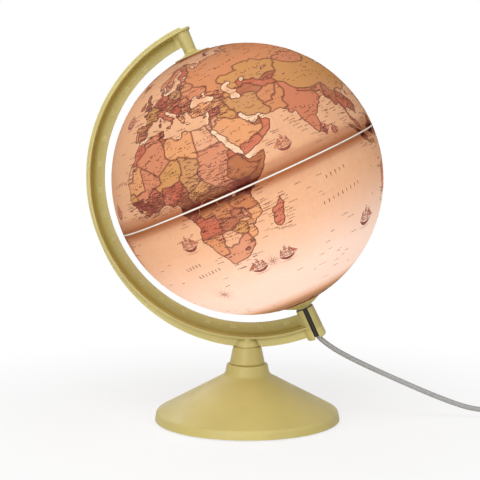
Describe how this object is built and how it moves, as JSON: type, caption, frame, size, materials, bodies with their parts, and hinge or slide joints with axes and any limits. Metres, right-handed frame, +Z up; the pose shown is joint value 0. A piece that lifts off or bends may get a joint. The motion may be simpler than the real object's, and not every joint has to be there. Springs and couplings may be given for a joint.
{
  "type": "desktop globe on stand",
  "caption": "Lit desktop globe spinning on a tilted half-meridian arm with a trumpet foot, lamp inside, mains lead with inline switch and plug.",
  "frame": {"origin": "on the table, under the middle of the foot ring", "axes": "+Z up; the arm and the tilted polar axis lie in the XZ plane, the arm on the -X side; the cord leaves towards +X; the picture looks along +Y"},
  "size_m": [0.5617, 0.2652, 0.3797],
  "materials": {
    "ochre_plastic": "satin moulded",
    "map_shell": "printed, satin, lets light through",
    "paper_tape": "matte tape",
    "white_plastic": "matte moulded",
    "dark_plastic": "satin black",
    "rubber": "matte",
    "steel": "zinc plated",
    "ballast_iron": "raw",
    "brass": "stamped",
    "bulb_metal": "pressed",
    "bulb_glass": "clear",
    "cord_grey": "smooth flexible sheath",
    "switch_grey": "fine grain",
    "pin_metal": "nickel plated"
  },
  "bodies": {
    "stand": {"base_shell": "ochre_plastic", "neck_sleeve": "ochre_plastic", "meridian_arm": "ochre_plastic", "arm_bolt": "steel", "arm_washer": "steel", "ballast_ring": "ballast_iron", "base_cover": "dark_plastic", "cover_screws": "steel", "foot_ring": "rubber", "pivot_pin": "steel", "lamp_tube": "dark_plastic", "lamp_holder": "white_plastic", "socket_shell": "brass", "socket_contact": "brass", "bulb_cap": "bulb_metal", "bulb_glass": "bulb_glass", "inner_cord": "cord_grey", "cord_grommet": "rubber", "cord_free": "cord_grey", "switch_lower": "switch_grey", "switch_upper": "switch_grey", "cord_coil": "cord_grey", "coil_tie": "dark_plastic", "plug_body": "switch_grey", "plug_pins": "pin_metal"},
    "globe": {"north_hemisphere": "map_shell", "south_hemisphere": "map_shell", "joint_ring": "white_plastic", "equator_tape": "paper_tape", "north_cap": "ochre_plastic", "south_cap": "ochre_plastic"},
    "rocker": {"switch_rocker": "dark_plastic"}
  },
  "joints": [
    {"name": "globe_spin", "type": "hinge", "parent": "stand", "child": "globe", "pos_m": [0, 0, 0.2341], "axis": [-0.4067, 0, 0.9135], "continuous": true},
    {"name": "rocker_tip", "type": "hinge", "parent": "stand", "child": "rocker", "pos_m": [0.274, 0.004, 0.0132], "axis": [0, 1, 0], "range_deg": [0, 16]}
  ]
}
